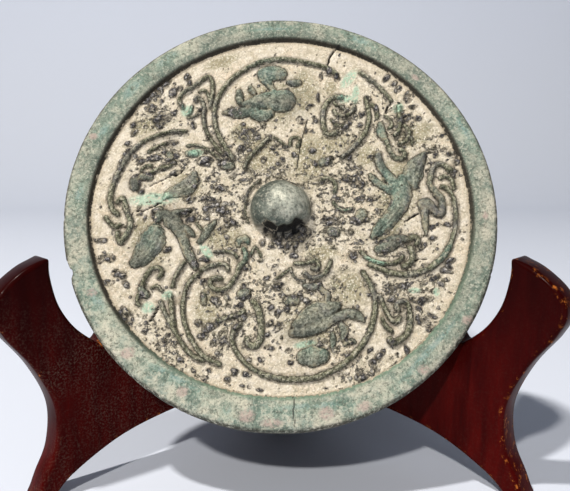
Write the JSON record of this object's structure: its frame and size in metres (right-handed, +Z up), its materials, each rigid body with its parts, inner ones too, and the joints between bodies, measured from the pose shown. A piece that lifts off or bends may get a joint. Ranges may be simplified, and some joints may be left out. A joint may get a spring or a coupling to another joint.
{
  "type": "ancient bronze mirror on a crossed-board stand",
  "caption": "Round cast bronze mirror with a raised rim, pierced knob and birds in scrolling rings, leaning on a stand of crossed lacquered wooden boards.",
  "frame": {"origin": "on the surface the stand rests on, under the middle of the bounding box", "axes": "+Z up, the decorated side of the mirror faces -Y, +X to the viewer's right"},
  "size_m": [0.1384, 0.1026, 0.1206],
  "materials": {
    "patinated_bronze": "matt grey-green patina with pale earth in the hollows",
    "red_lacquered_wood": "dark red gloss lacquer, worn to bare wood along the edges"
  },
  "bodies": {
    "root": {"bronze_mirror": "patinated_bronze", "stand_board_left": "red_lacquered_wood", "stand_board_right": "red_lacquered_wood"}
  },
  "joints": []
}
